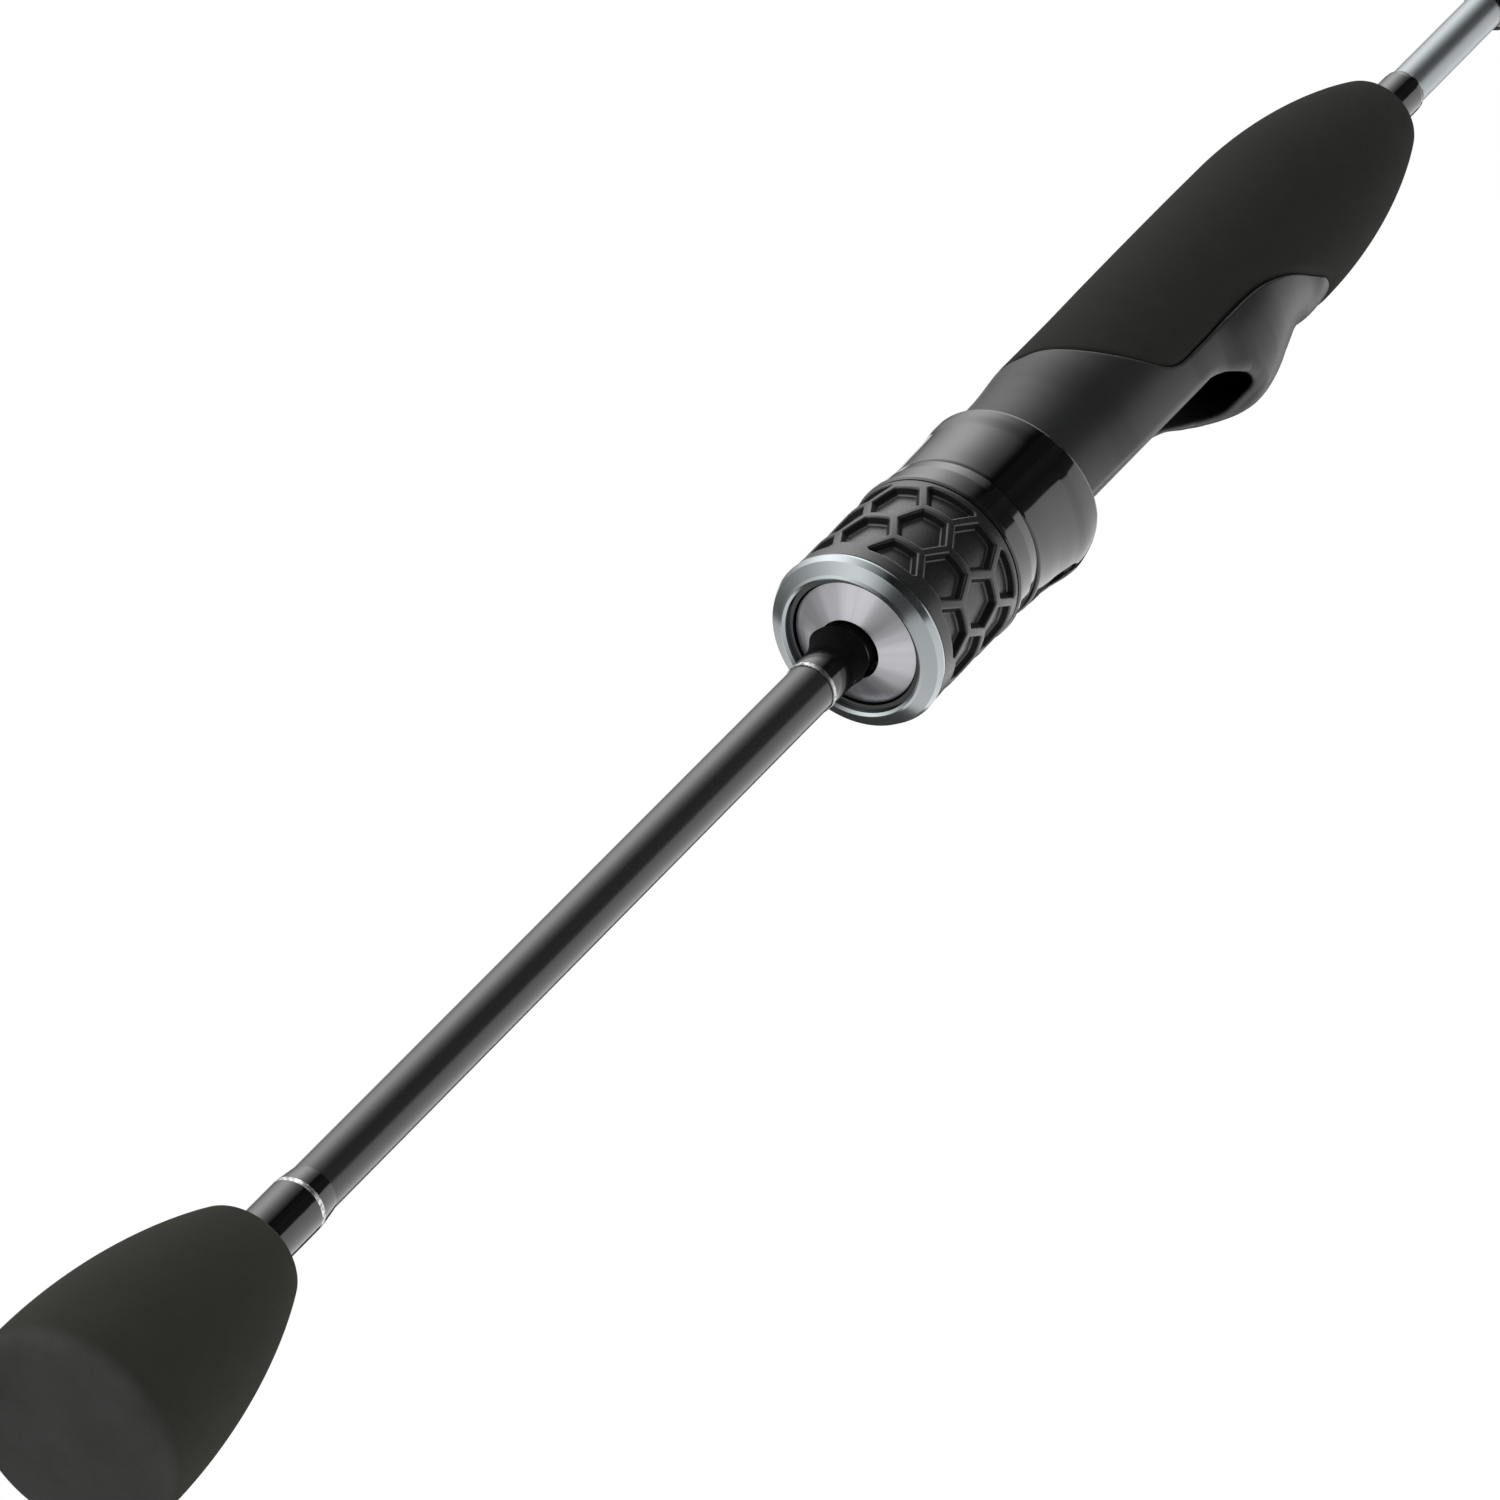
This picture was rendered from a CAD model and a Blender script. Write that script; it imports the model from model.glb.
"""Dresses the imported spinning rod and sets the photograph's camera and light. Lengths are in metres."""
import math

import bpy
import numpy as np
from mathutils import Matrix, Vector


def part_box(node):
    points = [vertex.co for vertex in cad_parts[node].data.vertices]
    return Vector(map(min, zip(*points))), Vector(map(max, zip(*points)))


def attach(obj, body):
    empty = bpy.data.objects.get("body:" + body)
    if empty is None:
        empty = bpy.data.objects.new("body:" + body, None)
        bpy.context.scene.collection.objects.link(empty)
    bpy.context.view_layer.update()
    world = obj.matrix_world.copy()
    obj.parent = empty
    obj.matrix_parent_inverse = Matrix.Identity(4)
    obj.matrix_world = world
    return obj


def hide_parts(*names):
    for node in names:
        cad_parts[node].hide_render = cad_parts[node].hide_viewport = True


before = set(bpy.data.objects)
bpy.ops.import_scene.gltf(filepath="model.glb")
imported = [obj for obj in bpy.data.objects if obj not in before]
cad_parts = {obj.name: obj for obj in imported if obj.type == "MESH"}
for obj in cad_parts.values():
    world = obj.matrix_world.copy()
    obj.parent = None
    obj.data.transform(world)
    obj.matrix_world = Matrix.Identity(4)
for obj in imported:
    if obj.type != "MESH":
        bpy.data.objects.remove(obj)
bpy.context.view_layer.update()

import openvdb
from mathutils import Matrix, Vector
from mathutils.bvhtree import BVHTree

MM = 0.001
W = H = 1500

# ---- Camera ----

# The rod lies along +X. The camera is level with it, behind it and on its -Y side, and rolled.
VIEW_TURN = math.radians(44.7)
VIEW_ROLL = math.radians(45.2)
AIM_X = -0.088
AIM_LOW = 0.000075
CAMERA_DISTANCE = 1.203
LENS = 230.4
SENSOR = 36.0
SHIFT_X = 0.0
SHIFT_Y = 0.0
AXIS_Z = (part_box("butt_grip")[0].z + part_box("butt_grip")[1].z) / 2


def camera_place():
    """Where the camera stands, and how it is turned."""
    look = Vector((math.cos(VIEW_TURN), math.sin(VIEW_TURN), 0))
    along = Vector((look.y, -look.x, 0))
    across = Vector((0, 0, -1))
    right = along * math.cos(VIEW_ROLL) + across * math.sin(VIEW_ROLL)
    up = along * math.sin(VIEW_ROLL) - across * math.cos(VIEW_ROLL)
    place = Matrix((right, up, -look)).transposed().to_4x4()
    place.translation = Vector((AIM_X, 0, AXIS_Z - AIM_LOW)) - look * CAMERA_DISTANCE
    return place


def add_camera():
    camera = bpy.data.cameras.new("camera")
    camera.sensor_fit = "AUTO"
    camera.sensor_width = SENSOR
    camera.lens = LENS
    camera.shift_x = SHIFT_X
    camera.shift_y = SHIFT_Y
    holder = bpy.data.objects.new("camera", camera)
    holder.matrix_world = CAMERA_PLACE
    bpy.context.collection.objects.link(holder)
    bpy.context.scene.camera = holder


CAMERA_PLACE = camera_place()
add_camera()

# ---- Image points, in the photograph's pixels ----

# The rod leaves the frame at both ends, so its own left, right, top and bottom have no point.
IMAGE_POINTS = {
    "butt_front": (273, 1229),
    "rear_trim": (299, 1203),
    "seat_trim": (812, 687),
    "wrap_fillet": (839, 658),
    "end_plate": (856, 642),
    "rear_ring": (859, 640),
    "nut_grip": (908, 590),
    "front_ring": (941, 556),
    "hood": (996, 511),
    "seat_low": (1094, 495),
    "seat_tail": (1326, 278),
    "foregrip_front": (1397, 97),
    "winding_check": (1401, 94),
}


def sight(point):
    """The direction in which the camera sees an image point."""
    size = max(W, H)
    across = point[0] - W / 2 + SHIFT_X * size
    rise = H / 2 - point[1] + SHIFT_Y * size
    aim = Vector((across, rise, -size * LENS / SENSOR))
    return (CAMERA_PLACE.to_3x3() @ aim).normalized()


def image_points(places):
    """Where places show, as rows of x and y."""
    size = max(W, H)
    turned_in = np.array(CAMERA_PLACE.inverted().to_3x3())
    seen = (places - np.array(CAMERA_PLACE.translation)) @ turned_in.T
    scale = size * LENS / SENSOR / -seen[:, 2]
    across = W / 2 - SHIFT_X * size + seen[:, 0] * scale
    down = H / 2 + SHIFT_Y * size - seen[:, 1] * scale
    return np.stack([across, down], axis=1)


# Where a ray misses, the distances from the camera that are tried along it
RAY_NEAR = 0.5
RAY_FAR = 2.0
RAY_TRIES = 400


def place_on(carrier, point):
    """The place on a carrier that shows at an image point, or the place nearest the ray where it misses."""
    tree = BVHTree.FromObject(carrier, bpy.context.evaluated_depsgraph_get())
    eye, way = CAMERA_PLACE.translation, sight(point)
    hit = tree.ray_cast(eye, way)[0]
    if hit is not None:
        return hit
    tries = [tree.find_nearest(eye + way * run) for run in np.linspace(RAY_NEAR, RAY_FAR, RAY_TRIES)]
    return min(tries, key=lambda found: found[3])[0]


# ---- Mesh helpers ----


def add_mesh(name, points, faces, material, smooth=True):
    mesh = bpy.data.meshes.new(name)
    mesh.from_pydata([tuple(p) for p in points], [], [tuple(int(i) for i in f) for f in faces])
    mesh.validate()
    mesh.update()
    if smooth:
        mesh.shade_smooth()
    else:
        mesh.shade_flat()
    mesh.materials.append(material)
    piece = bpy.data.objects.new(name, mesh)
    bpy.context.collection.objects.link(piece)
    return piece


def ring_grid(xs, radii, turns):
    """Points of a tube round the rod's axis, for rows of xs and radii and the columns' angles."""
    y = -radii * np.cos(turns)
    z = AXIS_Z - radii * np.sin(turns)
    return np.stack([xs + 0 * radii, y, z], axis=-1).reshape(-1, 3)


def ring_faces(rows, columns):
    faces = []
    for i in range(rows - 1):
        for j in range(columns):
            k = (j + 1) % columns
            faces.append((i * columns + j, i * columns + k, (i + 1) * columns + k, (i + 1) * columns + j))
    return faces


def turned(name, profile, material, columns, wobble=None):
    """A body of revolution through [x, radius] points in millimetres, with a flat face in each end ring."""
    xs = np.array([p[0] for p in profile])[:, None] * MM
    radii = np.array([p[1] for p in profile])[:, None] * MM
    turns = np.linspace(0, 2 * math.pi, columns, endpoint=False)[None, :]
    radii = radii + 0 * turns
    if wobble:
        radii = radii + wobble(xs, turns)
    points = ring_grid(xs, radii, turns)
    faces = ring_faces(len(profile), columns)
    faces.append(tuple(range(columns - 1, -1, -1)))
    last = (len(profile) - 1) * columns
    faces.append(tuple(range(last, last + columns)))
    return add_mesh(name, points, faces, material)


def smooth_curve(knots):
    """A function through [x, value] knots, with no overshoot."""
    xs = np.array([k[0] for k in knots], float)
    ys = np.array([k[1] for k in knots], float)
    slopes = np.diff(ys) / np.diff(xs)
    tangents = np.zeros(len(xs))
    for i in range(1, len(xs) - 1):
        a, b = slopes[i - 1], slopes[i]
        tangents[i] = 0 if a * b <= 0 else 2 * a * b / (a + b)

    def at(x):
        x = np.clip(x, xs[0], xs[-1])
        i = np.clip(np.searchsorted(xs, x) - 1, 0, len(xs) - 2)
        run = xs[i + 1] - xs[i]
        t = (x - xs[i]) / run
        rise = ys[i] * (1 + 2 * t) * (1 - t) ** 2 + ys[i + 1] * t * t * (3 - 2 * t)
        return rise + run * (tangents[i] * t * (1 - t) ** 2 - tangents[i + 1] * t * t * (1 - t))

    return at


# Distance fields: x runs along the rod, y across it and w up from its axis. All in millimetres.


def both(a, b, round_by):
    """Inside both fields, with their shared edge rounded."""
    h = np.maximum(round_by - np.abs(a - b), 0) / round_by
    return np.maximum(a, b) + h * h * round_by / 4


def either(a, b, round_by):
    """Inside one field or the other, with their seam rounded."""
    return -both(-a, -b, round_by)


def outline_field(points, x, w):
    """Signed distance in the side view to a closed outline, negative inside."""
    nearest = np.full(np.broadcast(x, w).shape, 1e9)
    inside = np.zeros(nearest.shape, bool)
    for (ax, aw), (bx, bw) in zip(points, points[1:] + points[:1]):
        ex, ew = bx - ax, bw - aw
        t = np.clip(((x - ax) * ex + (w - aw) * ew) / (ex * ex + ew * ew), 0, 1)
        nearest = np.minimum(nearest, (x - ax - t * ex) ** 2 + (w - aw - t * ew) ** 2)
        crosses = ((aw > w) != (bw > w)) & (x < ex * (w - aw) / (ew if ew else 1e-9) + ax)
        inside ^= crosses
    return np.where(inside, -1, 1) * np.sqrt(nearest)


def bar_field(y, w, spread, centre, radius):
    """A bar lying across the rod, seen along the rod: half its flat width, its height and its radius."""
    return np.hypot(np.maximum(np.abs(y) - spread, 0), w - centre) - radius


# How many cells deep the field is kept, and how often each point is drawn onto the surface
FIELD_DEPTH = 3
FIELD_PULLS = 3
# In cells: how far apart the slope is read, and the most that a point moves in one pull
SLOPE_REACH = 0.25
PULL_REACH = 0.5
FLATTEST = 0.25


def field_mesh(name, field, low, high, cell, material):
    """A closed mesh round where field(x, y, w) is below zero, its points and normals taken from the field."""
    axes = [np.arange(a - 2 * cell, b + 3 * cell, cell) for a, b in zip(low, high)]
    x, y, w = np.meshgrid(*axes, indexing="ij", sparse=True)
    values = np.clip(field(x, y, w) / cell, -FIELD_DEPTH, FIELD_DEPTH)
    values = np.broadcast_to(values, [len(a) for a in axes]).astype(np.float32)
    grid = openvdb.FloatGrid(float(FIELD_DEPTH))
    grid.copyFromArray(np.ascontiguousarray(values))
    points, quads = grid.convertToQuads(0.0)
    points = points.astype(float) * cell + np.array([a[0] for a in axes])
    for _ in range(FIELD_PULLS):
        value, slope = field_slope(field, points, cell * SLOPE_REACH)
        size = np.maximum((slope ** 2).sum(1), FLATTEST)
        points -= slope * np.clip(value / size, -cell * PULL_REACH, cell * PULL_REACH)[:, None]
    slope = field_slope(field, points, cell * SLOPE_REACH)[1]
    normals = slope / np.maximum(np.linalg.norm(slope, axis=1), 1e-9)[:, None]
    points = points * MM + np.array([0, 0, AXIS_Z])
    piece = add_mesh(name, points, quads, material)
    piece.data.normals_split_custom_set_from_vertices([tuple(n) for n in normals])
    return piece


def field_slope(field, points, step):
    """A field's value and slope at some points."""
    value = field(*points.T)
    slope = np.empty_like(points)
    for k in range(3):
        shift = np.zeros(3)
        shift[k] = step
        slope[:, k] = (field(*(points + shift).T) - field(*(points - shift).T)) / (2 * step)
    return value, slope


# ---- Materials ----


class Graph:
    """Short helpers that make and join nodes. Places are the object's own, in metres."""

    def __init__(self, tree):
        self.tree = tree
        self.place = self.add("ShaderNodeTexCoord").outputs["Object"]

    def add(self, kind, **settings):
        node = self.tree.nodes.new(kind)
        for key, value in settings.items():
            setattr(node, key, value)
        return node

    def link(self, source, target):
        self.tree.links.new(source, target)

    def scaled(self, factors):
        node = self.add("ShaderNodeVectorMath", operation="MULTIPLY")
        self.link(self.place, node.inputs[0])
        node.inputs[1].default_value = factors
        return node.outputs[0]

    def noise(self, size, detail, stretch=(1, 1, 1), place=None):
        """Noise with features about size across."""
        node = self.add("ShaderNodeTexNoise")
        node.inputs["Scale"].default_value = 1.0
        node.inputs["Detail"].default_value = detail
        self.link(place or self.scaled([s / size for s in stretch]), node.inputs["Vector"])
        return node.outputs["Fac"]

    def math(self, operation, a, b=0.0, c=0.0):
        node = self.add("ShaderNodeMath", operation=operation)
        for k, value in enumerate((a, b, c)):
            if hasattr(value, "links"):
                self.link(value, node.inputs[k])
            else:
                node.inputs[k].default_value = value
        return node.outputs[0]

    def axis(self, letter):
        node = self.add("ShaderNodeSeparateXYZ")
        self.link(self.place, node.inputs[0])
        return node.outputs[letter.upper()]

    def waves(self, pitch):
        """Waves from -1 to 1 along the rod."""
        return self.math("SINE", self.math("MULTIPLY", self.axis("x"), 2 * math.pi / pitch))

    def from_axis(self):
        """Distance from the rod's axis, and the turn about it in radians."""
        rise = self.math("SUBTRACT", self.axis("z"), AXIS_Z)
        side = self.axis("y")
        square = self.math("ADD", self.math("MULTIPLY", rise, rise), self.math("MULTIPLY", side, side))
        return self.math("SQRT", square), self.math("ARCTAN2", rise, side)

    def step(self, value, low, high, to_low=0.0, to_high=1.0):
        """value mapped smoothly from low..high to to_low..to_high."""
        node = self.add("ShaderNodeMapRange", interpolation_type="SMOOTHSTEP")
        self.link(value, node.inputs["Value"])
        limits = {"From Min": low, "From Max": high, "To Min": to_low, "To Max": to_high}
        for socket, number in limits.items():
            node.inputs[socket].default_value = number
        return node.outputs["Result"]

    def mix(self, factor, a, b):
        """A colour between a and b, each a colour or a socket."""
        node = self.add("ShaderNodeMix", data_type="RGBA")
        self.link(factor, node.inputs["Factor"])
        for socket, value in ((node.inputs[6], a), (node.inputs[7], b)):
            if hasattr(value, "links"):
                self.link(value, socket)
            else:
                socket.default_value = (*value, 1)
        return node.outputs[2]


class Shader(Graph):
    """A Principled material, with what feeds it."""

    def __init__(self, name, color, roughness, **sockets):
        self.material = bpy.data.materials.new(name)
        self.material.use_nodes = True
        super().__init__(self.material.node_tree)
        self.bsdf = self.tree.nodes["Principled BSDF"]
        self.set("Base Color", (*color, 1))
        self.set("Roughness", roughness)
        for key, value in sockets.items():
            self.set(key.replace("_", " "), value)

    def set(self, socket, value):
        self.bsdf.inputs[socket].default_value = value

    def paint(self, color):
        self.link(color, self.bsdf.inputs["Base Color"])

    def rough(self, value):
        self.link(value, self.bsdf.inputs["Roughness"])

    def bump(self, height, distance, strength):
        """height from 0 to 1 raises the surface by distance."""
        node = self.add("ShaderNodeBump")
        node.inputs["Strength"].default_value = strength
        node.inputs["Distance"].default_value = distance
        self.link(height, node.inputs["Height"])
        self.link(node.outputs[0], self.bsdf.inputs["Normal"])


THREAD_PITCH = 0.00018
GROOVE_PITCH = 0.00012
# Where the sawn end face passes into the butt grip's side, in millimetres from its end
SAWN_RUN = (0.4, 2.6)
# Between the grips, where the foam's tone may change unseen
TONE_RUN = (-0.15, -0.05)
# Under the foregrip, where the black of the butt section passes into silver
SILVER_RUN = (0.018, 0.020)


def foam_material():
    """Black closed-cell foam: matte, finely pored, with a coarser sawn end face."""
    s = Shader("foam", (0.018, 0.018, 0.017), 1.0, Specular_IOR_Level=0.05)
    pores = s.noise(0.00025, 4)
    mottle = s.noise(0.004, 3)
    end = s.step(s.axis("x"), (BUTT_X + SAWN_RUN[0]) * MM, (BUTT_X + SAWN_RUN[1]) * MM, 1, 0)
    tone = s.math("ADD", s.math("MULTIPLY", pores, 0.6), s.math("MULTIPLY", mottle, 0.4))
    fore_color = s.mix(tone, (0.0170, 0.0172, 0.0160), (0.0280, 0.0283, 0.0264))
    butt_color = s.mix(tone, (0.0245, 0.0245, 0.0205), (0.0390, 0.0390, 0.0330))
    side_color = s.mix(s.step(s.axis("x"), *TONE_RUN), butt_color, fore_color)
    end_tone = s.math("MULTIPLY_ADD", pores, 0.35, s.math("MULTIPLY", s.noise(0.007, 4), 0.65))
    end_color = s.mix(end_tone, (0.030, 0.0302, 0.0292), (0.072, 0.0724, 0.0705))
    s.paint(s.mix(end, side_color, end_color))
    grain = s.math("ADD", s.math("MULTIPLY", pores, 0.7), s.math("MULTIPLY", s.noise(0.0007, 3), end))
    s.bump(grain, 0.00006, 0.8)
    return s.material


def silver_color(s):
    """Metallic paint with a fine flake."""
    return s.mix(s.noise(0.00009, 2), (0.225, 0.248, 0.260), (0.290, 0.317, 0.331))


def blank_material():
    """The butt section: satin black behind the foregrip, silver paint ahead of it."""
    s = Shader("butt_blank", (0.019, 0.019, 0.019), 0.22, IOR=1.5)
    front = s.step(s.axis("x"), *SILVER_RUN)
    weave = s.noise(0.0012, 2, (1, 4, 4))
    black = s.mix(weave, (0.016, 0.016, 0.0155), (0.023, 0.023, 0.0225))
    s.paint(s.mix(front, black, silver_color(s)))
    s.link(s.step(front, 0, 1, 0, 0.85), s.bsdf.inputs["Metallic"])
    s.rough(s.step(front, 0, 1, 0.22, 0.36))
    return s.material


def silver_material():
    """Silver metallic paint."""
    s = Shader("silver_blank", (0.235, 0.258, 0.270), 0.36, Metallic=0.85)
    s.paint(silver_color(s))
    return s.material


def wrap_material():
    """Black thread, wound side by side under glossy epoxy."""
    s = Shader("thread_wrap", (0.004, 0.004, 0.004), 0.08, IOR=1.6)
    thread = s.waves(THREAD_PITCH)
    s.paint(s.mix(s.math("MULTIPLY_ADD", thread, 0.5, 0.5), (0.002, 0.002, 0.002), (0.007, 0.007, 0.0075)))
    s.bump(s.noise(0.004, 2), 0.00006, 0.5)
    return s.material


def band_material():
    """Silver metallic thread, its strands catching the light here and there."""
    s = Shader("silver_band", (0.5, 0.5, 0.5), 0.35, Metallic=1.0)
    thread = s.waves(THREAD_PITCH)
    tone = s.math("MULTIPLY_ADD", thread, 0.15, s.step(s.noise(0.0006, 3), 0.35, 0.65))
    s.paint(s.mix(tone, (0.20, 0.21, 0.22), (0.75, 0.75, 0.74)))
    s.bump(thread, 0.00002, 0.6)
    return s.material


def seat_material():
    """Soft-touch coating over moulded nylon."""
    s = Shader("seat_body", (0.015, 0.0155, 0.0155), 0.40, IOR=1.33)
    grain = s.noise(0.00016, 3)
    s.paint(s.mix(s.noise(0.004, 3), (0.0135, 0.014, 0.014), (0.017, 0.0175, 0.0175)))
    s.rough(s.step(grain, 0.3, 0.7, 0.36, 0.44))
    s.bump(grain, 0.00001, 0.5)
    return s.material


def gloss_material(name, color=(0.0035, 0.0036, 0.0037), roughness=0.07, ior=1.6):
    """Gloss black moulding with a faint unevenness."""
    s = Shader(name, color, roughness, IOR=ior)
    s.paint(s.mix(s.noise(0.003, 3), [c * 0.7 for c in color], [c * 1.3 for c in color]))
    s.rough(s.step(s.noise(0.003, 3), 0.2, 0.8, roughness * 0.8, roughness * 1.3))
    s.bump(s.noise(0.006, 2), 0.00003, 0.3)
    return s.material


# Where a cell's black wall begins above its floor, and where it ends below the nut's face, in millimetres
FLOOR_FADE = (0.05, 0.25)
TOP_FADE = (0.3, 0.1)


def rubber_material():
    """Moulded rubber, a little shiny where fingers turn it, with black walls round its cells."""
    s = Shader("nut_rubber", (0.014, 0.0145, 0.015), 0.36)
    grain = s.noise(0.0003, 3)
    tone = s.mix(s.noise(0.002, 3), (0.010, 0.0105, 0.011), (0.016, 0.0165, 0.017))
    radius = s.from_axis()[0]
    floor_r = GRIP_R - CELL_DEPTH
    floor = s.step(radius, (floor_r + FLOOR_FADE[0]) * MM, (floor_r + FLOOR_FADE[1]) * MM, 1, 0)
    top = s.step(radius, (GRIP_R - TOP_FADE[0]) * MM, (GRIP_R - TOP_FADE[1]) * MM)
    face = s.math("MAXIMUM", floor, top)
    s.paint(s.mix(face, (0.0004, 0.0004, 0.0004), tone))
    shine = s.step(grain, 0.25, 0.75, 0.26, 0.38)
    s.rough(s.math("MAXIMUM", shine, s.step(face, 0, 1, 1, 0)))
    s.bump(grain, 0.00001, 0.6)
    return s.material


def metal_material(name, color, roughness):
    """Turned metal: fine grooves round the rod."""
    s = Shader(name, color, roughness, Metallic=1.0)
    dark = [c * 0.92 for c in color]
    s.paint(s.mix(s.math("MULTIPLY_ADD", s.waves(GROOVE_PITCH), 0.5, 0.5), dark, color))
    s.bump(s.noise(0.0001, 2, (1, 0.02, 0.02)), 0.000004, 0.5)
    return s.material


PLATE_DARK = (0.43, 0.425, 0.45)
PLATE_LIGHT = (0.56, 0.555, 0.585)
PLATE_SPOKES = 3.0


def plate_material():
    """Brushed metal plate, its brushing running out from the rod."""
    s = Shader("end_plate", PLATE_DARK, 0.34, Metallic=1.0)
    spokes = s.add("ShaderNodeCombineXYZ")
    s.link(s.math("MULTIPLY", s.from_axis()[1], PLATE_SPOKES), spokes.inputs[0])
    brushing = s.noise(1.0, 5, place=spokes.outputs[0])
    s.paint(s.mix(s.step(brushing, 0.3, 0.7), PLATE_DARK, PLATE_LIGHT))
    s.bump(brushing, 0.00002, 0.4)
    return s.material


def fillet_material():
    """Black epoxy that ran into the plate's hole and cured dull."""
    s = Shader("epoxy_fillet", (0.002, 0.002, 0.002), 0.8, IOR=1.12)
    s.paint(s.mix(s.noise(0.001, 3), (0.001, 0.001, 0.001), (0.006, 0.006, 0.006)))
    s.bump(s.noise(0.0015, 2), 0.0002, 0.5)
    return s.material


def plain_material(name, color, roughness, metallic=0.0):
    """Small or inner parts: one colour with a fine variation."""
    s = Shader(name, color, roughness, Metallic=metallic)
    s.paint(s.mix(s.noise(0.001, 3), [c * 0.85 for c in color], color))
    return s.material


def dress(node, material):
    """Gives a CAD node this material."""
    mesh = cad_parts[node].data
    mesh.materials.clear()
    mesh.materials.append(material)


# ---- Sizes read from the frame, in millimetres from the foot face's middle ----


def reach(node):
    """(rear x, front x, radius) of a node, in metres."""
    low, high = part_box(node)
    return low.x, high.x, (high.y - low.y) / 2


BUTT_X, BUTT_FRONT_X, BUTT_R = (v / MM for v in reach("butt_grip"))
FORE_X, FORE_FRONT_X, FORE_R = (v / MM for v in reach("foregrip"))
SEAT_X, SEAT_TAIL_X = (v / MM for v in reach("reel_seat")[:2])
HOOD_X, HOOD_TIP_X = (v / MM for v in reach("sliding_hood")[:2])
GRIP_X, RIDGE_X, GRIP_R = (v / MM for v in reach("nut_grip"))
FACE = AXIS_Z / MM

# The nut's rubber grip
CELL_ROWS = 12
CELL_PITCH = 7.8
CELL_WEB = 0.8
CELL_DEPTH = 1.1
CELL_MARGIN = 2.5
CELL_END = 1.1
CELL_TURN = math.radians(10)
# How wide a cell's wall slopes, and how far a cell at the grip's ends fades out
CELL_SLOPE = 0.7
CELL_FADE = 0.5
GRIP_INNER_R = 10.9
GRIP_EDGE_DROP = 0.25
GRIP_EDGE_RUN = 0.3
GRIP_ROWS = 150
GRIP_COLUMNS = 540

FOAM = foam_material()
BLANK = blank_material()
SILVER = silver_material()
WRAP = wrap_material()
BAND = band_material()
SEAT = seat_material()
GLOSS = gloss_material("hood_gloss")
COLLAR = gloss_material("nut_gloss", (0.0045, 0.0046, 0.0048), 0.09)
RUBBER = rubber_material()
RIM = metal_material("nut_rim", (0.32, 0.345, 0.355), 0.2)
RIDGE = gloss_material("nut_ridge", (0.006, 0.0062, 0.0064), 0.12, 1.7)
PLATE = plate_material()
FILLET = fillet_material()
CORE = plain_material("seat_core", (0.02, 0.02, 0.02), 0.5)
ARBOR = plain_material("arbor", (0.30, 0.28, 0.22), 0.8)
WIRE = plain_material("keeper_wire", (0.72, 0.73, 0.74), 0.22, metallic=1.0)
FRAME = plain_material("guide_frame", (0.18, 0.19, 0.20), 0.25, metallic=1.0)
CERAMIC = plain_material("guide_ring", (0.035, 0.038, 0.045), 0.06)

# ---- Grips ----

BUTT_BORE_R = 3.45
BUTT_NOSE_R = 7.1
BUTT_CURVE = 35
BUTT_ROUND = 2.4
FORE_NOSE_R = 6.3
FORE_CURVE = 33.8
CURVE_POWER = 0.93
NOSE_ROUND = 1.1
BUTT_RINGS = 72
BUTT_ROUND_RINGS = 12
BUTT_COLUMNS = 192
# Rings across the flat end face, as shares of its radius
BUTT_END_SHARES = (0.97, 0.8, 0.6, 0.4, 0.2, 0.02)


def nose(run, length, small, full):
    """Radius of a grip's curved end, at a distance from its small end."""
    u = 1 - np.minimum(run, length) / length
    k = np.maximum(1 - run / NOSE_ROUND, 0)
    return small + (full - small) * (1 - u * u) ** CURVE_POWER - NOSE_ROUND * (1 - np.sqrt(1 - k * k))


def butt_grip():
    runs = BUTT_CURVE * np.linspace(0, 1, BUTT_RINGS) ** 2
    profile = [(BUTT_FRONT_X, BUTT_BORE_R)]
    profile += [(BUTT_FRONT_X - run, nose(run, BUTT_CURVE, BUTT_NOSE_R, BUTT_R)) for run in runs]
    for a in np.linspace(0, math.pi / 2, BUTT_ROUND_RINGS):
        profile.append((BUTT_X + BUTT_ROUND * (1 - math.sin(a)), BUTT_R - BUTT_ROUND * (1 - math.cos(a))))
    profile += [(BUTT_X, (BUTT_R - BUTT_ROUND) * share) for share in BUTT_END_SHARES]
    piece = turned("butt_grip_foam", profile, FOAM, BUTT_COLUMNS)
    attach(piece, "butt_section")
    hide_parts("butt_grip")


# Epoxy at the front end of the wrap behind the reel seat
FILLET_RUN = 3.4
FILLET_RISE = 0.72
FILLET_POWER = 1.7
# The collar stands higher on one side, with three broad lumps and seven fine ones that grow to its front
FILLET_SKEW = 0.42
FILLET_BROAD = 0.10
FILLET_FINE = 0.07
LUMP_POWER = 1.4
# How far its ends lie inside the wrap, how far its rear edge stands out, and its rounded front edge
FILLET_DEPTH = 0.3
FILLET_EDGE = 0.01
FILLET_END = 0.3
FILLET_END_SHARE = 0.8
FILLET_RINGS = 24
FILLET_COLUMNS = 96
# Seen at an angle, the middle of what shows lies this far behind the collar's own middle
FILLET_LEAD = 2.4


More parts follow.
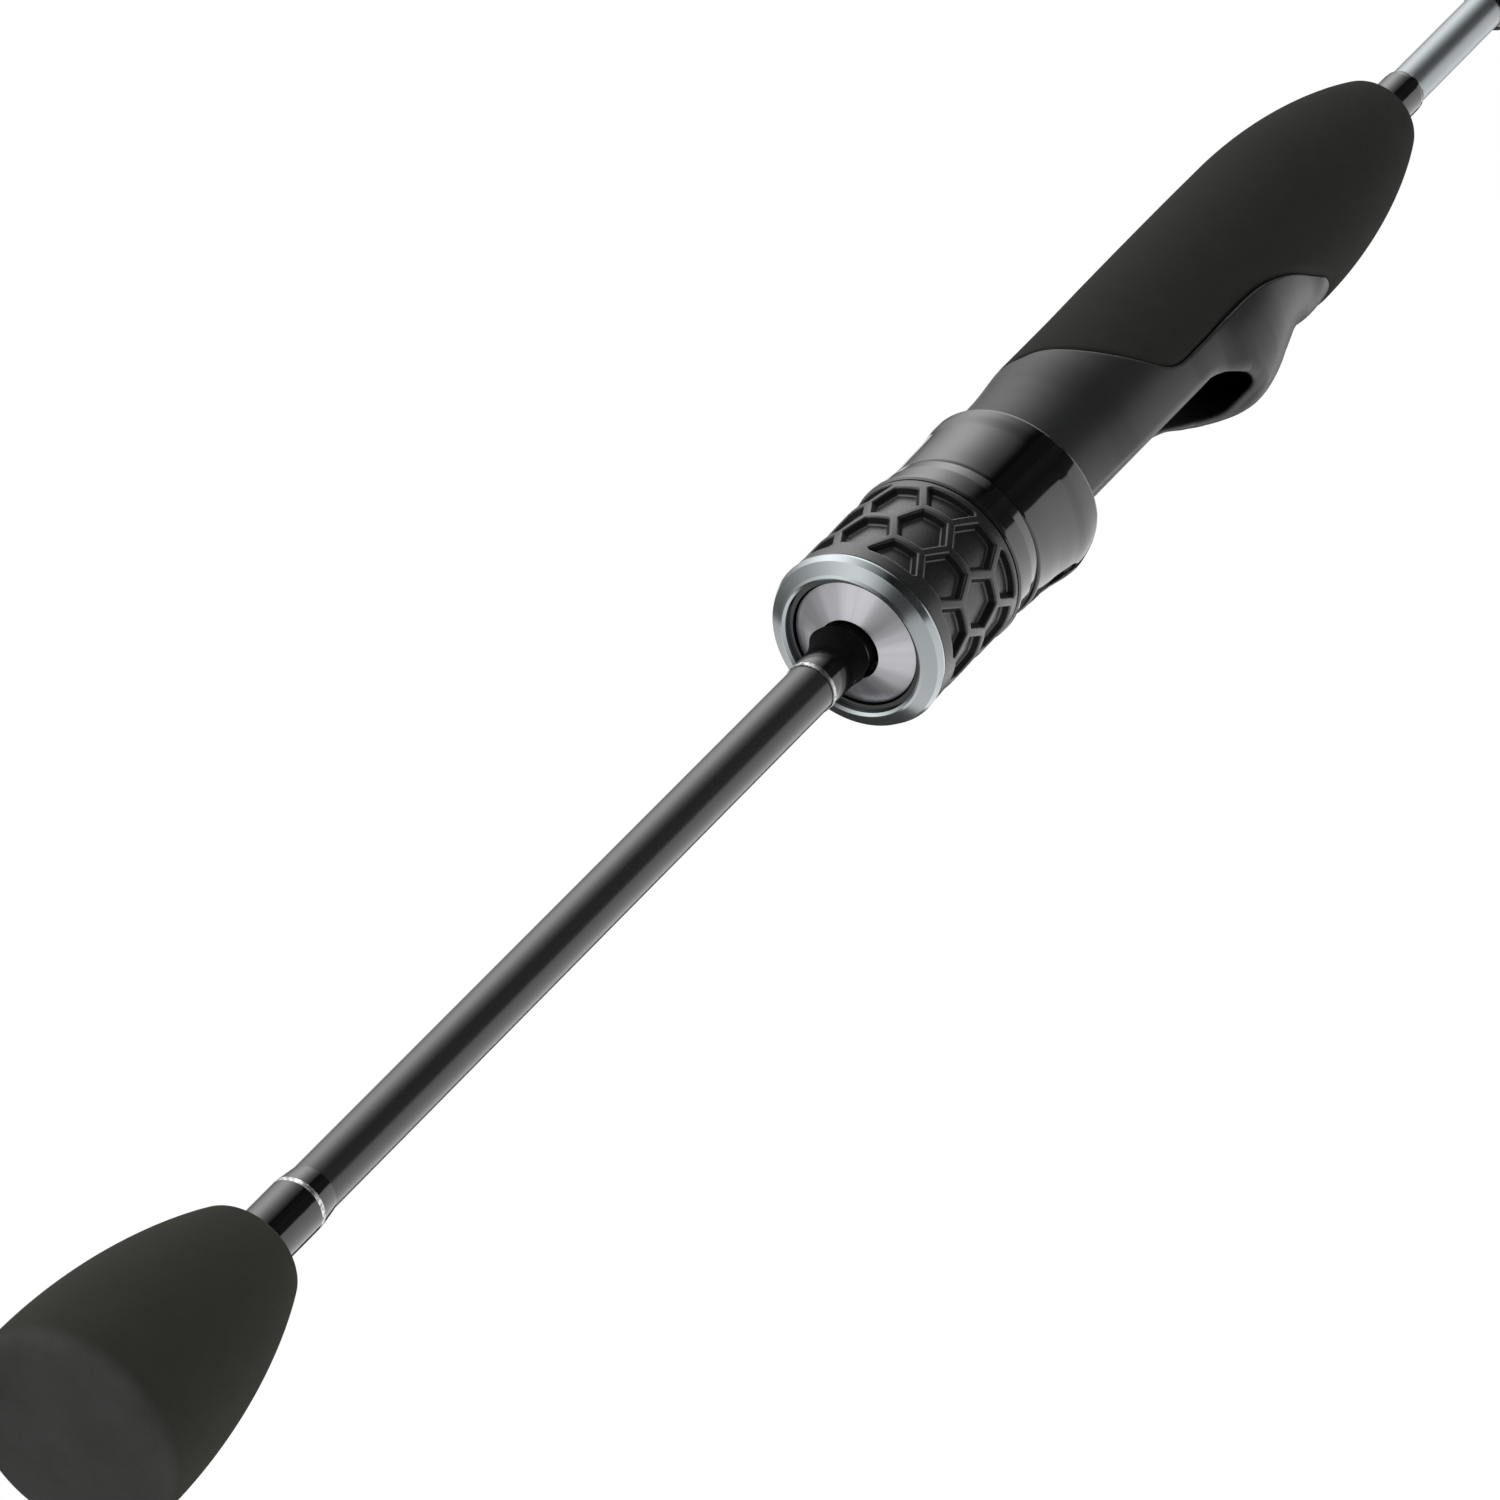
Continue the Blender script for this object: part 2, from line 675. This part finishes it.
def wrap_fillet():
    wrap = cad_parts["seat_wrap"]
    wrap_r = reach("seat_wrap")[2] / MM
    plate_x = reach("seat_end_plate")[0] / MM
    middle = place_on(wrap, IMAGE_POINTS["wrap_fillet"]).x / MM
    rear_x = min(middle + FILLET_LEAD - FILLET_RUN / 2, plate_x - FILLET_RUN)
    runs = np.linspace(0, 1, FILLET_RINGS)
    heights = wrap_r + FILLET_EDGE + FILLET_RISE * runs ** FILLET_POWER
    front_x = rear_x + FILLET_RUN + FILLET_END
    profile = [(rear_x, wrap_r - FILLET_DEPTH)]
    profile += list(zip(rear_x + FILLET_RUN * runs, heights))
    profile += [(front_x, wrap_r + FILLET_RISE * FILLET_END_SHARE), (front_x, wrap_r - FILLET_DEPTH)]

    def lumps(xs, turns):
        grown = np.clip((xs / MM - rear_x) / FILLET_RUN, 0, 1) ** LUMP_POWER
        uneven = -FILLET_SKEW * np.sin(turns) + FILLET_BROAD * np.sin(3 * turns + 1)
        uneven = uneven + FILLET_FINE * np.sin(7 * turns + 2)
        return grown * uneven * MM

    piece = turned("wrap_fillet", profile, FILLET, FILLET_COLUMNS, lumps)
    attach(piece, "butt_section")


# The line where foam meets the seat, as x and w in the side view
PARTING_KNOTS = [
    (-5.3, 13), (-4.95, 11.2), (-4.0, 10.4), (-3.2, 9.1), (-2.6, 7.6), (-1.75, 5.9), (-0.75, 4.3),
    (0.7, 2.3), (2.3, 0.4), (4.15, -1.6), (5.9, -3.1), (7.9, -4.1), (10.3, -4.5), (15.3, -4.55),
    (21.4, -4.45), (25.5, -4.45), (29.4, -4.6), (32.2, -4.95), (35.1, -5.6), (38.2, -6.45),
    (41.1, -7.5), (43.7, -8.5), (46.1, -9.55), (48.3, -10.55), (49.9, -11.4), (50.6, -12.2),
    (50.8, -13)]


def parting_line():
    """The parting knots joined by a smooth curve, with four points to each step."""
    steps = range(len(PARTING_KNOTS))
    along = smooth_curve([(i, knot[0]) for i, knot in enumerate(PARTING_KNOTS)])
    height = smooth_curve([(i, knot[1]) for i, knot in enumerate(PARTING_KNOTS)])
    turns = np.linspace(0, steps[-1], 4 * len(steps))
    return list(zip(along(turns), height(turns)))


PARTING = parting_line()
# Outlines that cut a piece are closed this far outside it: below, above and along the rod
CUT_LOW = -30
CUT_HIGH = 40
CUT_AHEAD = 20
ABOVE = PARTING + [(PARTING[-1][0], CUT_LOW), (FORE_FRONT_X + CUT_AHEAD, CUT_LOW),
                   (FORE_FRONT_X + CUT_AHEAD, CUT_HIGH), (PARTING[0][0], CUT_HIGH)]
FOAM_EDGE = 0.5
FOAM_TUCK = 0.7
SEAT_EDGE = 0.5
FORE_END_ROUND = 0.3
FORE_CELL = 0.3
# Where the nose curves in, the distance from its surface is less than the difference in radius
NOSE_SHARE = 0.93
# The foregrip's radius along its rear part, as x and what it lacks of the full radius
FORE_KNOTS = [(FORE_X, 0.5), (8, 0.44), (18, 0.26), (26, 0.15), (36, 0.05), (46, 0)]


def foregrip():
    radius = smooth_curve([(x, FORE_R - less) for x, less in FORE_KNOTS])

    def field(x, y, w):
        round_r = np.where(x < FORE_FRONT_X - FORE_CURVE, radius(x),
                           nose(np.maximum(FORE_FRONT_X - x, 0), FORE_CURVE, FORE_NOSE_R, FORE_R))
        body = (np.hypot(y, w) - round_r) * NOSE_SHARE
        body = both(body, x - FORE_FRONT_X, FORE_END_ROUND)
        return both(body, outline_field(ABOVE, x, w), 2 * FOAM_EDGE)

    low, high = (FORE_X, -FORE_R, -FORE_R), (FORE_FRONT_X, FORE_R, FORE_R)
    piece = field_mesh("foregrip_foam", field, low, high, FORE_CELL, FOAM)
    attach(piece, "butt_section")
    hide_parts("foregrip")


# ---- Seat body with the fixed hood ----

SLIM_R = 10.95
BELLY_R = 11.84
RIM_ROUND = 0.9
BELLY_CLEAR = 0.05
BELLY_BLEND = 0.8
SEAT_END_ROUND = 0.2
# The seat is this much thinner where foam lies over it
FOAM_STEP = 0.9
FOOT_SPACE_X = 26.5
SEAT_MARGIN = 3
SEAT_SPAN = 13
SEAT_LOW = -16
SEAT_CELL = 0.25
POCKET_SPREAD = 2.3
POCKET_CORNER = 4.95
POCKET_LOW = -FACE - 4.35
POCKET_END = 34

seat_radius = smooth_curve([
    (SEAT_X, SLIM_R), (-15, SLIM_R + 0.02), (-11, 11.12), (-8, 11.4), (-4.6, 11.7), (0, 11.86), (10, 12.0),
    (20, 12.13), (30, 12.2), (38, 12.14), (43.4, 11.86), (47.3, 12.3), (50, 12.15), (53, 11.9)])
belly_depth = smooth_curve([
    (8, 10.5), (14, 12.2), (17.8, 12.6), (19.6, 13.4), (22, 14.75), (24, 15.25), (26.5, 15.4), (28, 15.36),
    (29.9, 15.1), (31.8, 14.67), (33.7, 14.1), (35.6, 13.55), (37.5, 13.0), (39.5, 12.4), (41.5, 11.95),
    (44, 11.6), (48, 11.0)])
# The mouth slants from the foot face down to the crest
MOUTH_LINE = [(14.8, -FACE), (16.3, -9.0), (18.0, -9.6), (20.3, -10.6), (22.3, -11.6), (24.1, -13),
              (25.5, -14.3), (26.4, -15.5)]


def seat_shell():
    behind = SEAT_X - SEAT_MARGIN
    foot_space = [(behind, -FACE)] + MOUTH_LINE + [(FOOT_SPACE_X, CUT_LOW), (behind, CUT_LOW)]

    def field(x, y, w):
        body = np.hypot(y, w) - seat_radius(x)
        belly_r = np.minimum(BELLY_R, (belly_depth(x) + seat_radius(x)) / 2 - BELLY_CLEAR)
        belly = np.hypot(y, w + belly_depth(x) - belly_r) - belly_r
        shape = either(body, belly, BELLY_BLEND)
        shape = both(shape, np.maximum(SEAT_X - x, x - SEAT_TAIL_X), SEAT_END_ROUND)
        pocket = bar_field(y, w, POCKET_SPREAD, POCKET_LOW + POCKET_CORNER, POCKET_CORNER)
        pocket = np.maximum(np.maximum(pocket, w + FACE), x - POCKET_END)
        shape = both(shape, -outline_field(foot_space, x, w), RIM_ROUND)
        shape = both(shape, -pocket, RIM_ROUND)
        above = outline_field(ABOVE, x, w)
        under_foam = np.maximum(shape + FOAM_STEP, -above - FOAM_TUCK)
        return np.minimum(both(shape, -above, SEAT_EDGE), under_foam)

    low, high = (SEAT_X, -SEAT_SPAN, SEAT_LOW), (SEAT_TAIL_X, SEAT_SPAN, SEAT_SPAN)
    piece = field_mesh("seat_shell", field, low, high, SEAT_CELL, SEAT)
    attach(piece, "butt_section")
    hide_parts("reel_seat")


# ---- Sliding hood ----

HOOD_LEN = 13.2
HOOD_FRONT_X = HOOD_X + HOOD_LEN
HOOD_REAR_R = 11.85
HOOD_FRONT_R = 12.4
HOOD_BELLY_R = 9
HOOD_BORE_R = SLIM_R + 0.25
HOOD_TRAVEL = 10
HOOD_CLEARANCE = 0.35
NECK_HOLE_R = 10.05
HOOD_WALL = 1.1
HOOD_BLEND = 2.0
HOOD_REAR_ROUND = 0.5
LIP_ROUND = 0.7
BORE_ROUND = 0.3
# The room for the reel foot's end under the bore
FOOT_ROOM_DEPTH = 13.5
FOOT_ROOM_SKIN = 1.3
FOOT_ROOM_START = 3.3
# The slot through the hood's underside
SLOT_HALF = 2.5
SLOT_REAR = 3.2
SLOT_FRONT = 1.7
SLOT_TOP = 9
SLOT_ROUND = 0.4
HOOD_SPAN = 13
HOOD_LOW = -14
HOOD_CELL = 0.2
# The front lip in the side view, from top to bottom, as w and how far it reaches past the hood's front
LIP_KNOTS = [(30, 0.1), (6, 0.1), (0, 0.3), (-3, 0.8), (-5, 1.15), (-7, 1.5), (-8.5, 1.75), (-10.5, 1.85),
             (-11.8, 1.5), (-12.8, 0.8), (-13.6, -0.4)]
LIP_CUT = 30


def sliding_hood():
    depth = smooth_curve([(HOOD_X, HOOD_REAR_R), (-29, 12.3), (-25.2, 13.0), (-21.3, 13.45), (-17.5, 13.15)])
    radius = smooth_curve([(HOOD_X, HOOD_REAR_R), (-30, 11.95), (-24.5, 12.1), (-22.3, 12.35),
                           (HOOD_FRONT_X, HOOD_FRONT_R)])
    ahead_x = HOOD_FRONT_X + LIP_CUT
    front = [(HOOD_FRONT_X + past, w) for w, past in LIP_KNOTS]
    front += [(HOOD_FRONT_X, -LIP_CUT), (ahead_x, -LIP_CUT), (ahead_x, LIP_CUT)]

    def field(x, y, w):
        around = np.hypot(y, w)
        belly = np.hypot(y, w + depth(x) - HOOD_BELLY_R) - HOOD_BELLY_R
        shape = either(around - radius(x), belly, HOOD_BLEND)
        shape = both(shape, HOOD_X - x, HOOD_REAR_ROUND)
        shape = both(shape, -outline_field(front, x, w), LIP_ROUND)
        ahead = np.clip(x + HOOD_TRAVEL, SEAT_X, SEAT_TAIL_X)
        bore_r = np.maximum(HOOD_BORE_R, seat_radius(ahead) + HOOD_CLEARANCE)
        bore = np.where(x > HOOD_X + HOOD_WALL, around - bore_r, around - NECK_HOLE_R)
        shape = both(shape, -bore, BORE_ROUND)
        foot = np.hypot(y, w + FOOT_ROOM_DEPTH - HOOD_BELLY_R) - (HOOD_BELLY_R - FOOT_ROOM_SKIN)
        shape = np.maximum(shape, -np.maximum(foot, HOOD_X + FOOT_ROOM_START - x))
        slot_x0 = HOOD_X + SLOT_REAR + SLOT_HALF
        slot_x1 = HOOD_FRONT_X - SLOT_FRONT - SLOT_HALF
        along = np.maximum(np.maximum(slot_x0 - x, x - slot_x1), 0)
        slot = np.maximum(np.hypot(along, y) - SLOT_HALF, w + SLOT_TOP)
        return both(shape, -slot, SLOT_ROUND)

    low, high = (HOOD_X, -HOOD_SPAN, HOOD_LOW), (HOOD_TIP_X, HOOD_SPAN, HOOD_SPAN)
    piece = field_mesh("hood_shell", field, low, high, HOOD_CELL, GLOSS)
    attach(piece, "hood")
    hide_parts("sliding_hood")


# ---- Locking nut ----


def nut_grip():
    zone = RIDGE_X - GRIP_X - CELL_MARGIN - CELL_END
    middle = GRIP_X + CELL_MARGIN + zone / 2
    xs = np.linspace(GRIP_X, RIDGE_X, GRIP_ROWS)[:, None]
    turns = np.linspace(0, 2 * math.pi, GRIP_COLUMNS, endpoint=False)[None, :]
    row_arc = 2 * math.pi * GRIP_R / CELL_ROWS
    row_angle = 2 * math.pi / CELL_ROWS
    nearest = np.full((GRIP_ROWS, GRIP_COLUMNS), 1e9)
    for row in range(CELL_ROWS):
        offset = (turns - CELL_TURN - row * row_angle + math.pi) % (2 * math.pi) - math.pi
        along = xs - middle - (CELL_PITCH / 2 if row % 2 == 0 else 0)
        along = (along + CELL_PITCH / 2) % CELL_PITCH - CELL_PITCH / 2
        nearest = np.minimum(nearest, hexagon(along, offset * GRIP_R, row_arc))
    inside = np.clip((-nearest - CELL_WEB / 2) / CELL_SLOPE, 0, 1)
    from_ends = np.minimum(xs - GRIP_X - CELL_MARGIN, RIDGE_X - CELL_END - xs)
    edge = np.clip(from_ends / CELL_FADE + 0.5, 0, 1)
    drop = smooth01(inside) * smooth01(edge) * CELL_DEPTH
    ends = np.minimum(xs - GRIP_X, RIDGE_X - xs)
    lip = GRIP_EDGE_DROP * (1 - np.clip(ends / GRIP_EDGE_RUN, 0, 1)) ** 2
    outer = (GRIP_R - drop - lip) * MM
    inner = np.full((1, GRIP_COLUMNS), GRIP_INNER_R * MM)
    xs_all = np.concatenate([xs[:1], xs, xs[-1:], xs[:1]]) * MM
    radii = np.concatenate([inner, outer, inner, inner])
    points = ring_grid(xs_all, radii, turns)
    piece = add_mesh("nut_grip_rubber", points, ring_faces(GRIP_ROWS + 3, GRIP_COLUMNS), RUBBER)
    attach(piece, "nut")
    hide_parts("nut_grip")


def hexagon(along, around, row_arc):
    """Distance to a cell's outline, negative inside: points round the rod, flats across it."""
    half_w = CELL_PITCH / 2
    peak = row_arc * 2 / 3
    side = np.abs(along) - half_w
    slope_x, slope_y = peak / 2, half_w
    size = math.hypot(slope_x, slope_y)
    corner = (slope_x * np.abs(along) + slope_y * (np.abs(around) - peak)) / size
    return np.maximum(side, corner)


def smooth01(t):
    return t * t * (3 - 2 * t)


# ---- CAD nodes that keep their shape ----


def dress_nodes():
    looks = {
        "butt_blank": BLANK, "rear_wrap": WRAP, "rear_wrap_trim": BAND, "seat_wrap": WRAP,
        "seat_wrap_trim": BAND, "seat_end_plate": PLATE, "seat_tube": CORE, "rear_arbor": ARBOR,
        "front_arbor": ARBOR,
        "winding_check": COLLAR, "keeper_wrap": WRAP, "hook_keeper": WIRE, "nut_core": COLLAR,
        "nut_rear_ring": RIM, "nut_front_ring": RIDGE, "tip_blank": SILVER, "ferrule_wrap": WRAP,
        "ferrule_trim": BAND,
    }
    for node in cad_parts:
        for ending, material in (("_frame", FRAME), ("_ring", CERAMIC), ("_wrap", WRAP), ("_wraps", WRAP)):
            if node.startswith(("guide_", "tip_top_")) and node.endswith(ending):
                looks[node] = material
    for node, material in looks.items():
        dress(node, material)


# ---- Light and background ----

FLOOR_Z = -0.30
PANEL_Z = 0.30
UPPER_PEAK = 2.8
UPPER_MIDDLE = -0.02
UPPER_WIDTH = 0.18
LOWER_STRENGTH = 1.6
LOWER_SLOPE = 0.72
REAR_DIM = 0.7
# Where along the rod the dimming ends, and where across it each panel fades out on the camera's side
REAR_RUN = (-0.35, 0.0)
UPPER_EDGE = (-0.76, -0.42)
LOWER_EDGE = (-0.452, -0.422)
# Each panel's reach in x and in y
UPPER_REACH = ((-2.2, 4.2), (-1.0, 0.75))
LOWER_REACH = ((-1.4, 3.2), (-0.46, 0.36))
LOWER_LIFT = 0.005


def shine_graph(name):
    """A shining material's nodes, and the socket that its strength feeds."""
    material = bpy.data.materials.new(name)
    material.use_nodes = True
    graph = Graph(material.node_tree)
    graph.tree.nodes.remove(graph.tree.nodes["Principled BSDF"])
    shine = graph.add("ShaderNodeEmission")
    graph.link(shine.outputs[0], graph.tree.nodes["Material Output"].inputs["Surface"])
    return material, graph, shine.inputs["Strength"]


def rear_dimming(graph):
    """What lies behind the handle only lights its end faces, so it shines less."""
    return graph.step(graph.axis("x"), *REAR_RUN, REAR_DIM, 1.0)


def upper_glow():
    """Brightest over the rod and falling off to both sides, like a lamp behind a screen."""
    material, graph, strength = shine_graph("upper_panel")
    across = graph.axis("y")
    off = graph.math("DIVIDE", graph.math("SUBTRACT", across, UPPER_MIDDLE), UPPER_WIDTH)
    fall = graph.math("DIVIDE", UPPER_PEAK, graph.math("MULTIPLY_ADD", off, off, 1.0))
    fall = graph.math("MULTIPLY", fall, graph.step(across, *UPPER_EDGE))
    graph.link(graph.math("MULTIPLY", fall, rear_dimming(graph)), strength)
    return material


def lower_glow():
    """A little brighter away from the camera, with a soft edge on the camera's side."""
    material, graph, strength = shine_graph("lower_panel")
    across = graph.axis("y")
    level = graph.math("MULTIPLY_ADD", across, LOWER_SLOPE, LOWER_STRENGTH)
    level = graph.math("MULTIPLY", level, graph.step(across, *LOWER_EDGE))
    graph.link(graph.math("MULTIPLY", level, rear_dimming(graph)), strength)
    return material


def panel(name, x_range, y_range, z, material, facing):
    """A soft panel along the rod, seen only in reflections."""
    (x0, x1), (y0, y1) = x_range, y_range
    points = [(x0, y0, z), (x1, y0, z), (x1, y1, z), (x0, y1, z)]
    order = (0, 1, 2, 3) if facing > 0 else (3, 2, 1, 0)
    piece = add_mesh(name, points, [order], material, smooth=False)
    piece.visible_camera = False
    piece.visible_shadow = False


FILL_PLACE = Vector((-0.35, -1.2, 0.1))
FILL_SIZE = 0.7
FILL_POWER = 3.5


def fill_lamp():
    """A weak lamp on the camera's side that lifts matte surfaces and makes no highlight."""
    lamp = bpy.data.lights.new("fill", "AREA")
    lamp.energy = FILL_POWER
    lamp.size = FILL_SIZE
    holder = bpy.data.objects.new("fill", lamp)
    holder.location = FILL_PLACE
    holder.rotation_euler = (-FILL_PLACE).to_track_quat("-Z", "Y").to_euler()
    holder.visible_glossy = False
    bpy.context.collection.objects.link(holder)


def add_light():
    fill_lamp()
    panel("upper_panel", *UPPER_REACH, PANEL_Z, upper_glow(), -1)
    panel("lower_panel", *LOWER_REACH, FLOOR_Z + LOWER_LIFT, lower_glow(), 1)


# Where the world passes from dark to white, as the y of a direction, and how dark it is
WORLD_EDGE = (-0.25, 0.15)
WORLD_DARK = 0.03


def add_world():
    """White behind the rod for the camera and for reflections, dark on the camera's side."""
    world = bpy.data.worlds.new("studio")
    world.use_nodes = True
    tree = world.node_tree
    back = tree.nodes["Background"]
    path = tree.nodes.new("ShaderNodeLightPath")
    place = tree.nodes.new("ShaderNodeTexCoord")
    split = tree.nodes.new("ShaderNodeSeparateXYZ")
    tree.links.new(place.outputs["Generated"], split.inputs[0])
    side = tree.nodes.new("ShaderNodeMapRange")
    side.interpolation_type = "SMOOTHSTEP"
    edges = {"From Min": WORLD_EDGE[0], "From Max": WORLD_EDGE[1], "To Min": WORLD_DARK, "To Max": 1.0}
    for socket, number in edges.items():
        side.inputs[socket].default_value = number
    tree.links.new(split.outputs["Y"], side.inputs["Value"])
    strength = tree.nodes.new("ShaderNodeMath")
    strength.operation = "MAXIMUM"
    tree.links.new(side.outputs["Result"], strength.inputs[0])
    tree.links.new(path.outputs["Is Camera Ray"], strength.inputs[1])
    tree.links.new(strength.outputs[0], back.inputs["Strength"])
    back.inputs["Color"].default_value = (1, 1, 1, 1)
    bpy.context.scene.world = world


FLOOR_REACH = 14.0
FLOOR_TONE = 0.12
FLOOR_SHINE = 0.98


def add_floor():
    """Only the camera sees the floor white. Reflections see a dim cloth, and it takes the rod's shadow."""
    corners = ((-1, -1), (1, -1), (1, 1), (-1, 1))
    points = [(x * FLOOR_REACH, y * FLOOR_REACH, FLOOR_Z) for x, y in corners]
    material = bpy.data.materials.new("floor")
    material.use_nodes = True
    tree = material.node_tree
    tree.nodes.clear()
    out = tree.nodes.new("ShaderNodeOutputMaterial")
    cloth = tree.nodes.new("ShaderNodeBsdfDiffuse")
    cloth.inputs["Color"].default_value = (FLOOR_TONE, FLOOR_TONE, FLOOR_TONE, 1)
    shine = tree.nodes.new("ShaderNodeEmission")
    path = tree.nodes.new("ShaderNodeLightPath")
    strength = tree.nodes.new("ShaderNodeMath")
    strength.operation = "MULTIPLY"
    strength.inputs[1].default_value = FLOOR_SHINE
    tree.links.new(path.outputs["Is Camera Ray"], strength.inputs[0])
    tree.links.new(strength.outputs[0], shine.inputs["Strength"])
    both_shaders = tree.nodes.new("ShaderNodeAddShader")
    tree.links.new(cloth.outputs[0], both_shaders.inputs[0])
    tree.links.new(shine.outputs[0], both_shaders.inputs[1])
    tree.links.new(both_shaders.outputs[0], out.inputs["Surface"])
    floor = add_mesh("floor", points, [(0, 1, 2, 3)], material, smooth=False)


# ---- How far each thing shows from its image point ----

# What each point marks: the middle of a piece, or its vertex that shows furthest in a direction of the image
MARKS = {
    "butt_front": ("butt_grip_foam", (1, -1)),
    "rear_trim": ("rear_wrap_trim", None),
    "seat_trim": ("seat_wrap_trim", None),
    "wrap_fillet": ("wrap_fillet", None),
    "end_plate": ("seat_end_plate", None),
    "rear_ring": ("nut_rear_ring", None),
    "nut_grip": ("nut_grip_rubber", None),
    "front_ring": ("nut_front_ring", None),
    "hood": ("hood_shell", None),
    "seat_low": ("seat_shell", (0, 1)),
    "seat_tail": ("seat_shell", (1, -1)),
    "foregrip_front": ("foregrip_foam", (1, -1)),
    "winding_check": ("winding_check", None),
}
PIECES = ["butt_grip_foam", "wrap_fillet", "foregrip_foam", "seat_shell", "hood_shell", "nut_grip_rubber"]
REPLACED = ["butt_grip", "foregrip", "reel_seat", "sliding_hood", "nut_grip"]
# A vertex still counts as seen with this much surface just before it, in metres
SIGHT_SLACK = 0.0003


def finished_places(item):
    """A piece's vertices as finished, as rows of places."""
    mesh = item.evaluated_get(bpy.context.evaluated_depsgraph_get()).to_mesh()
    places = np.empty(3 * len(mesh.vertices))
    mesh.vertices.foreach_get("co", places)
    return places.reshape(-1, 3)


def furthest(places, points, way, trees):
    """The image point of the seen place that is furthest in a direction of the image, or None."""
    eye = CAMERA_PLACE.translation
    for k in np.argsort(-(points @ np.array(way))):
        line = Vector(places[k]) - eye
        if not any(tree.ray_cast(eye, line.normalized(), line.length - SIGHT_SLACK)[0] for tree in trees):
            return points[k]
    return None


def shown_mark(item, way, trees):
    """The image point of what a piece shows: its furthest vertex that way, or else the middle."""
    places = finished_places(item)
    points = image_points(places)
    if way:
        return furthest(places, points, way, trees)
    ends = [furthest(places, points, side, trees) for side in ((-1, 0), (1, 0), (0, -1), (0, 1))]
    if any(end is None for end in ends):
        return None
    return np.array([(ends[0][0] + ends[1][0]) / 2, (ends[2][1] + ends[3][1]) / 2])


def measure_points():
    """Writes how far in x and y each thing shows from its image point."""
    depsgraph = bpy.context.evaluated_depsgraph_get()
    pieces = {item.name: item for item in bpy.data.objects if item.type == "MESH" and item.name in PIECES}
    pieces.update({name: node for name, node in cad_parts.items() if name not in REPLACED})
    trees = [BVHTree.FromObject(item, depsgraph) for item in pieces.values()]
    for name, (piece, way) in MARKS.items():
        shown = shown_mark(pieces[piece], way, trees)


butt_grip()
wrap_fillet()
foregrip()
seat_shell()
sliding_hood()
nut_grip()
dress_nodes()
add_light()
add_world()
add_floor()
bpy.context.scene.view_settings.view_transform = "Standard"

measure_points()
